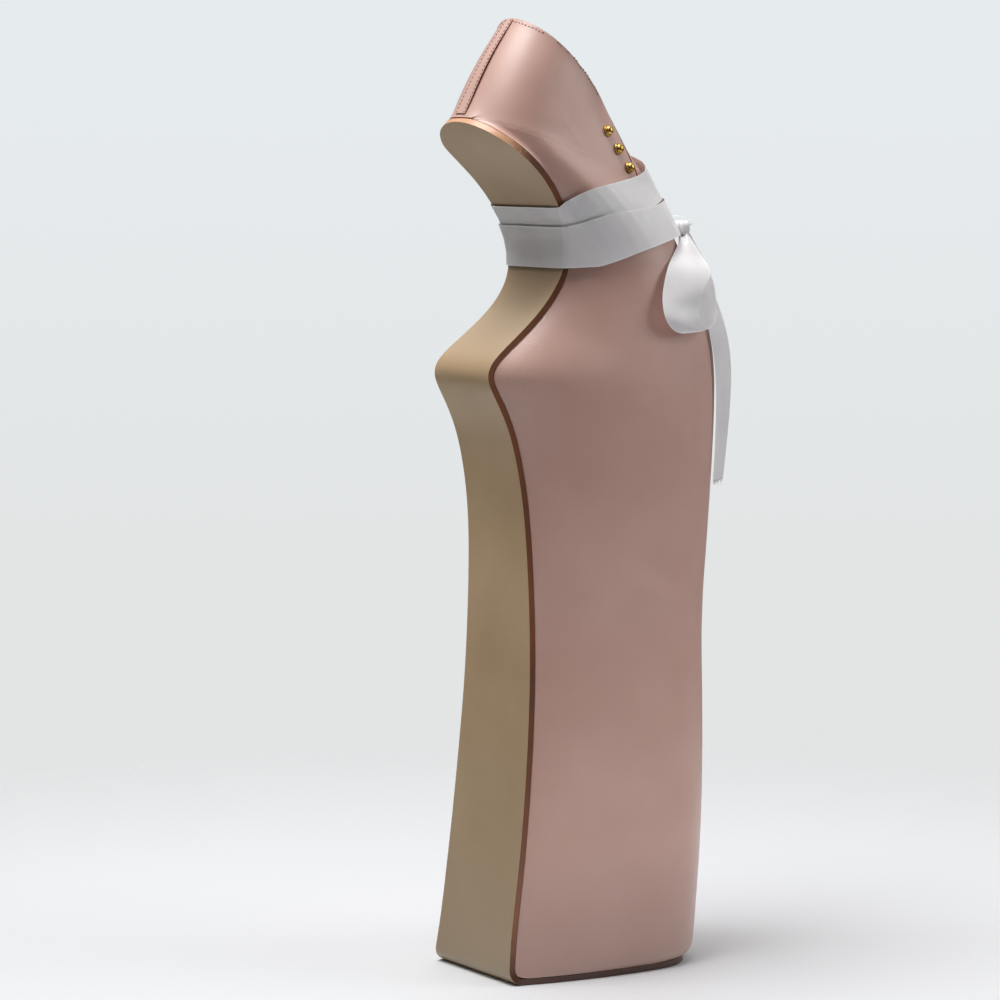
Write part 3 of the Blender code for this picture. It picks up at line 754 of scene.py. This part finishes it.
def chains(edges):
    """Edges put in order, as lists of points, one for each separate line."""
    links = {}
    for edge in edges:
        a, b = edge.verts
        links.setdefault(a, []).append(b)
        links.setdefault(b, []).append(a)
    lines = []
    while links:
        ends = [v for v, others in links.items() if len(others) == 1]
        start = ends[0] if ends else next(iter(links))
        line, here = [start.co.copy()], start
        while links.get(here):
            there = links[here].pop()
            links[there].remove(here)
            if not links[here]:
                del links[here]
            line.append(there.co.copy())
            here = there
        links.pop(here, None)
        lines.append(line)
    return lines


def stitch_shape():
    """One stitch: a short fat bead of thread, along +X, lying on the surface below it."""
    work = bmesh.new()
    bmesh.ops.create_uvsphere(work, u_segments=6, v_segments=5, radius=0.5)
    bmesh.ops.rotate(work, verts=work.verts, matrix=Matrix.Rotation(math.pi / 2, 3, "Y"))
    bmesh.ops.scale(
        work, vec=(THREAD["length"], THREAD["thick"], THREAD["thick"]), verts=work.verts
    )
    shape = bpy.data.meshes.new("stitch_shape")
    work.to_mesh(shape)
    work.free()
    return shape


def sew(name, rows, surface, material):
    """Rows of stitches laid on a surface, joined into one mesh."""
    shape = stitch_shape()
    work = bmesh.new()
    for row in rows:
        places = resample(row, THREAD["pitch"])
        for here, there in zip(places, places[1:]):
            middle, normal, _, _ = surface.find_nearest((here + there) / 2)
            along = there - here
            along = (along - normal * along.dot(normal)).normalized()
            turn = Matrix((along, normal.cross(along), normal)).transposed().to_4x4()
            turn.translation = middle + normal * THREAD["thick"] * 0.25
            before = len(work.verts)
            work.from_mesh(shape)
            work.verts.ensure_lookup_table()
            bmesh.ops.transform(work, matrix=turn, verts=work.verts[before:])
    bpy.data.meshes.remove(shape)
    return as_piece(work, name, [material])


def beside(line, surface, inside, offset):
    """A line moved along a surface, away from an edge, towards what lies inside."""
    moved = []
    points = resample(line, 1.5 * MM)
    for i, point in enumerate(points):
        along = (points[min(i + 1, len(points) - 1)] - points[max(i - 1, 0)]).normalized()
        _, normal, _, _ = surface.find_nearest(point)
        across = normal.cross(along).normalized()
        if across.dot(inside(point)) < 0:
            across = -across
        moved.append(surface.find_nearest(point + across * offset)[0])
    return moved


# ---- leather pieces -----------------------------------------------------------------------------


def make_upper(pink, cut_edge):
    """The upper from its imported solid, divided finely, and the line along its collar.

    The faces reached from the outside are pink. At the heel they run on over the rim to the
    inside, so that pink covers nearly all of the skin.
    """
    work = copy_of("upper")
    square_up(work)
    outermost = min(work.faces, key=lambda f: f.calc_center_median().y)
    outside = spread(outermost, rolls=True)
    for face in work.faces:
        face.material_index = 0 if face in outside else 1
    crease_edges(work, rolls=True)
    collar = [
        e for e in work.edges
        if math.degrees(e.calc_face_angle(0.0)) > COLLAR["corner"]
        and all(v.co.z > COLLAR["above"] and v.co.x > COLLAR["before"] for v in e.verts)
    ]  # fmt: skip
    widest = max(chains(collar), key=lambda line: max(p.y for p in line) - min(p.y for p in line))
    piece = as_piece(work, "upper_leather", [pink, cut_edge])
    subdivide(piece, 2)
    ease_heel(piece)
    round_edges(piece, ROLL, rolls=True)
    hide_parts("upper")
    return piece, widest


def ease_heel(piece):
    """Ease the skin round the heel tip, where it turns from the seat up into the counter."""
    mesh = piece.data
    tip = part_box("outsole")[0].x
    spots = np.empty(len(mesh.vertices) * 3)
    mesh.vertices.foreach_get("co", spots)
    spots = spots.reshape(-1, 3)
    ends = np.empty(len(mesh.edges) * 2, int)
    mesh.edges.foreach_get("vertices", ends)
    ends = ends.reshape(-1, 2)
    work = bmesh.new()
    work.from_mesh(mesh)
    hard = [v.index for e in work.edges if is_corner(e, 35, True) for v in e.verts]
    work.free()
    far = np.linalg.norm(spots - np.array((tip + 0.024, 0, 0.405)), axis=1)
    share = np.clip(1.6 * (1 - far / HEEL_EASE), 0, 1)[:, None]
    share[hard] = 0
    count = np.bincount(ends.ravel(), minlength=len(spots))[:, None]
    for _ in range(EASE_ROUNDS):
        total = np.zeros_like(spots)
        np.add.at(total, ends[:, 0], spots[ends[:, 1]])
        np.add.at(total, ends[:, 1], spots[ends[:, 0]])
        spots += 0.5 * share * (total / count - spots)
    mesh.vertices.foreach_set("co", spots.ravel())
    mesh.update()


def press(piece, start, end, depth, reach):
    """Press a soft trough into the outside of a piece along a line."""
    start, end = Vector(start), Vector(end)
    line = end - start
    outside = {v for p in piece.data.polygons if p.material_index == 0 for v in p.vertices}
    moved = {}
    for i in outside:
        vert = piece.data.vertices[i]
        share = min(max((vert.co - start).dot(line) / line.length_squared, 0.0), 1.0)
        gap = (vert.co - start - line * share).length
        if gap < 3 * reach:
            moved[i] = vert.co - vert.normal * depth * math.exp(-((gap / reach) ** 2))
    for i, place in moved.items():
        piece.data.vertices[i].co = place
    piece.data.update()


def make_outsole(sole, burnished):
    """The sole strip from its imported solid, with its painted edge rounded."""
    work = copy_of("outsole")
    square_up(work)
    outside = spread(min(work.faces, key=lambda f: f.calc_center_median().z))
    deepest = min(
        (f for f in work.faces if f not in outside and f.normal.z > 0.9),
        key=lambda f: f.calc_center_median().z,
    )
    inside = spread(deepest)
    for face in work.faces:
        face.material_index = 0 if face in outside or face in inside else 1
    crease_edges(work)
    piece = as_piece(work, "sole_strip", [sole, burnished])
    subdivide(piece, 2)
    round_edges(piece, PAINT_ROUND, 1)
    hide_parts("outsole")
    return piece


def make_back_strip(pink, cut_edge, surface):
    """The pared strip over the back seam, and the lines of its two long edges."""
    work = copy_of("back_strip")
    square_up(work)
    face = spread(max(work.faces, key=lambda f: f.calc_area() * -f.normal.x))
    for f in work.faces:
        f.material_index = 0 if f in face else 1
    border = [e for e in work.edges if sum(f in face for f in e.link_faces) == 1]
    long = [
        e for e in border
        if abs((e.verts[0].co - e.verts[1].co).y) < 0.6 * e.calc_length()
    ]  # fmt: skip
    lines = [line for line in chains(long) if len(line) > 3]
    crease_edges(work)
    piece = as_piece(work, "back_seam_strip", [pink, cut_edge])
    for vert in subdivide(piece, 2).vertices:
        under, normal, _, _ = surface.find_nearest(vert.co)
        vert.co = under + normal * STRIP_PARED * (vert.co - under).dot(normal)
    round_edges(piece, STRIP_ROUND)
    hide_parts("back_strip")
    return piece, lines


# ---- studs --------------------------------------------------------------------------------------


def make_stud(name, gold, surface):
    """A domed stud on a stepped washer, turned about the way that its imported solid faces."""
    low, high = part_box(name)
    centre = (low + high) / 2
    foot, out, _, _ = surface.find_nearest(centre)
    profile = (
        # radius, height
        (2.75, 0.0), (2.85, 0.25), (2.75, 0.6), (2.5, 0.72), (2.36, 0.6), (2.3, 0.78),
        (2.2, 1.45), (1.95, 2.1), (1.5, 2.62), (0.85, 2.93), (0.0, 3.02),
    )  # fmt: skip
    work = bmesh.new()
    chain = [work.verts.new((r * MM, 0, h * MM)) for r, h in profile]
    edges = [work.edges.new(pair) for pair in zip(chain, chain[1:])]
    bmesh.ops.spin(
        work, geom=chain + edges, cent=(0, 0, 0), axis=(0, 0, 1), steps=40, angle=math.tau,
        use_merge=True,
    )  # fmt: skip
    bmesh.ops.remove_doubles(work, verts=work.verts, dist=0.000001)
    rim = [e for e in work.edges if e.is_boundary]
    bmesh.ops.contextual_create(work, geom=rim)
    bmesh.ops.recalc_face_normals(work, faces=work.faces)
    place = out.to_track_quat("Z", "Y").to_matrix().to_4x4()
    place.translation = foot + out * 0.3 * MM
    bmesh.ops.transform(work, matrix=place, verts=work.verts)
    piece = as_piece(work, f"{name}_dome", [gold])
    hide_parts(name)


# ---- the ribbon ---------------------------------------------------------------------------------


def lay_weave(mesh):
    """A UV map whose first number is the distance from the nearer selvedge."""
    work = bmesh.new()
    work.from_mesh(mesh)
    marks = [
        e.verts[0].co.lerp(e.verts[1].co, t / 4)
        for e in work.edges if e.is_boundary for t in range(4)
    ]  # fmt: skip
    near = KDTree(len(marks))
    for i, mark in enumerate(marks):
        near.insert(mark, i)
    near.balance()
    layer = work.loops.layers.uv.new("weave")
    for vert in work.verts:
        gap = near.find(vert.co)[2] if marks else RIBBON / 2
        for loop in vert.link_loops:
            loop[layer].uv = (gap, vert.co.z)
    work.to_mesh(mesh)
    work.free()


def outer_face(work, limit):
    """Leave only the broadest side of a length of ribbon: sides meet at more than a limit."""
    left, sides = set(work.faces), []
    while left:
        sides.append(spread(next(iter(left)), limit))
        left -= sides[-1]
    broad = max(sides, key=lambda side: sum(f.calc_area() for f in side))
    bmesh.ops.delete(work, geom=[f for f in work.faces if f not in broad], context="FACES")
    square_up(work)


def make_sheet(node_name, name, satin, levels=3, limit=60):
    """A length of ribbon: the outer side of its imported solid, made smooth."""
    work = copy_of(node_name)
    outer_face(work, limit)
    for _ in range(2):
        long = [e for e in work.edges if e.calc_length() > LONG]
        bmesh.ops.subdivide_edges(work, edges=long, cuts=1, use_grid_fill=True)
    piece = as_piece(work, name, [satin])
    subdivide(piece, levels)
    lay_weave(piece.data)
    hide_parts(node_name)
    return piece


def fray(name, rim, onward, satin):
    """Loose threads at a cut end of ribbon: thin, each set a little askew, each its own length."""
    work = bmesh.new()
    chance = random.Random(name)
    for point in resample(rim, 0.45 * MM):
        length = chance.uniform(0.8, 3.4) * MM
        way = (onward + Vector([chance.uniform(-0.28, 0.28) for _ in range(3)])).normalized()
        made = bmesh.ops.create_cone(
            work, cap_ends=True, segments=5, radius1=0.11 * MM, radius2=0.04 * MM, depth=length
        )
        turn = way.to_track_quat("Z", "Y").to_matrix().to_4x4()
        turn.translation = point + way * (length / 2 - 0.3 * MM)
        bmesh.ops.transform(work, matrix=turn, verts=made["verts"])
    piece = as_piece(work, name, [satin])
    lay_weave(piece.data)


def low_end(piece):
    """The cut end of a hanging ribbon: its line of points, and the way the ribbon runs there."""
    lowest = min(v.co.z for v in piece.data.vertices)
    work = bmesh.new()
    work.from_mesh(piece.data)
    near = lowest + 6 * MM
    rim = [e for e in work.edges if e.is_boundary and max(v.co.z for v in e.verts) < near]
    flat = [e for e in rim if abs((e.verts[0].co - e.verts[1].co).z) < 0.5 * e.calc_length()]
    line = max(chains(flat), key=len)
    middle = sum(line, Vector()) / len(line)
    above = [v.co for v in work.verts if 8 * MM < (v.co - middle).length < 10 * MM]
    onward = (middle - sum(above, Vector()) / len(above)).normalized()
    work.free()
    return line, onward


def bow_point(place):
    """A point given in millimetres from the knot's middle: to the right, up, and away."""
    low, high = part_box("ribbon_knot")
    return (low + high) / 2 + (SIDE * place[0] + Vector((0, 0, place[1])) + AWAY * place[2]) * MM


def smooth_row(rows, at):
    """A point of the curve that runs through rows of points, at a share of its length."""
    place = at * (len(rows) - 1)
    i = min(int(place), len(rows) - 2)
    t = place - i
    near = [Vector(rows[min(max(i + k, 0), len(rows) - 1)]) for k in (-1, 0, 1, 2)]
    return 0.5 * (
        2 * near[1]
        + (near[2] - near[0]) * t
        + (2 * near[0] - 5 * near[1] + 4 * near[2] - near[3]) * t**2
        + (3 * near[1] - near[0] - 3 * near[2] + near[3]) * t**3
    )


def make_bow_loop(satin):
    """The loop that hangs outside: ribbon from the knot down, round and back up behind itself."""
    work = bmesh.new()
    long, broad = 84, 14
    bmesh.ops.create_grid(work, x_segments=long, y_segments=broad, size=0.5)
    left, right = [row[0] for row in OUTER_LOOP], [row[1] for row in OUTER_LOOP]
    for vert in work.verts:
        along, over = vert.co.x + 0.5, vert.co.y + 0.5
        a, b = smooth_row(left, along), smooth_row(right, along)
        ahead = min(along + 0.01, 1.0)
        on = smooth_row(left, ahead) + smooth_row(right, ahead)
        on -= smooth_row(left, ahead - 0.01) + smooth_row(right, ahead - 0.01)
        normal = (b - a).cross(on).normalized()
        gathered = math.exp(-min(along, 1 - along) * 13)
        pleat = 1.1 * gathered * math.sin(over * 3.4 * math.pi + 6 * along)
        cup = 0.9 * (1 - gathered) * (1 - (2 * over - 1) ** 2) * math.sin(math.pi * along)
        ripple = 0.35 * noise.noise(Vector((along * 9, over * 2.2, 3.1)))
        vert.co = bow_point(a.lerp(b, over) + normal * (pleat + cup + ripple))
    piece = as_piece(work, "ribbon_loop_outer_satin", [satin])
    subdivide(piece, 1)
    lay_weave(piece.data)
    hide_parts("ribbon_loop_outer")


def make_knot(satin):
    """The knot: the ribbon drawn tight once round the bow's middle, with its folds."""
    work = bmesh.new()
    bmesh.ops.create_uvsphere(work, u_segments=64, v_segments=40, radius=1)
    for vert in work.verts:
        x, y, z = vert.co
        round_ = (abs(x) ** 2.6 + abs(y) ** 2.6 + abs(z) ** 2.6) ** (-1 / 2.6)
        fold = 0.055 * math.sin(x * round_ * 9.0 + 1.3 * z) * (1 - min(1, abs(x) ** 3))
        waist = 1 - 0.12 * math.exp(-((x * round_) ** 2) * 6)
        place = Vector((x * 4.0, z * 4.1 * waist, y * 4.0)) * round_ * (1 + fold)
        vert.co = bow_point(place + KNOT_SHIFT)
    bmesh.ops.recalc_face_normals(work, faces=work.faces)
    piece = as_piece(work, "ribbon_knot_satin", [satin])
    lay_weave(piece.data)
    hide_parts("ribbon_knot")


# ---- the whole ----------------------------------------------------------------------------------


def main():
    make_camera()
    make_world()
    make_floor()
    middle = Vector((0, 0, 0.34))
    make_light("overhead", middle - SIDE * 0.4 - AWAY * 0.2 + Vector((0, 0, 1.35)), middle, 0.9, 24)
    make_light("behind", (0.35, 0.75, 1.7), middle, 1.6, 6)
    make_light("right", middle + SIDE * 1.3 - AWAY * 0.1 + Vector((0, 0, 0.6)), middle, 0.9, 6)
    pink, lining, cut_edge = make_pink_leather(), make_lining(), make_cut_edge()
    upper, collar = make_upper(pink, cut_edge)
    for trough in TROUGHS:
        press(upper, *trough)
    surface = tree_of(upper)
    thread = make_thread()
    row = beside(collar, surface, lambda p: Vector((0, 0, -1)), TOPLINE_IN)
    sew("topline_stitches", [row], surface, thread)
    make_outsole(make_sole_leather(), make_burnished_edge())
    strip, lines = make_back_strip(pink, cut_edge, surface)
    face = tree_of(strip)
    centre = (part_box("back_strip")[0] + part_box("back_strip")[1]) / 2
    rows = [
        beside(line, face, lambda p: Vector((0, centre.y - p.y, 0)), STRIP_IN) for line in lines
    ]
    sew("back_strip_stitches", rows, face, thread)
    gold = make_gold()
    for name in ("stud_1", "stud_2", "stud_3"):
        make_stud(name, gold, surface)
    satin = make_satin()
    make_sheet("ribbon_turn_upper", "ribbon_upper", satin, 1, 70)
    make_sheet("ribbon_turn_lower", "ribbon_lower", satin, 1, 70)
    make_knot(satin)
    make_bow_loop(satin)
    make_sheet("ribbon_loop_inner", "ribbon_loop_inner_satin", satin, 2)
    for name in ("ribbon_tail_outer", "ribbon_tail_inner"):
        tail = make_sheet(name, f"{name}_satin", satin, 2)
        fray(f"{name}_fray", *low_end(tail), satin)
    for name, material in (
        ("platform", make_cork()), ("insole", make_sock()), ("closure_underlap", lining),
    ):  # fmt: skip
        for slot in NODES[name].material_slots:
            slot.material = material
        if not NODES[name].material_slots:
            NODES[name].data.materials.append(material)


main()
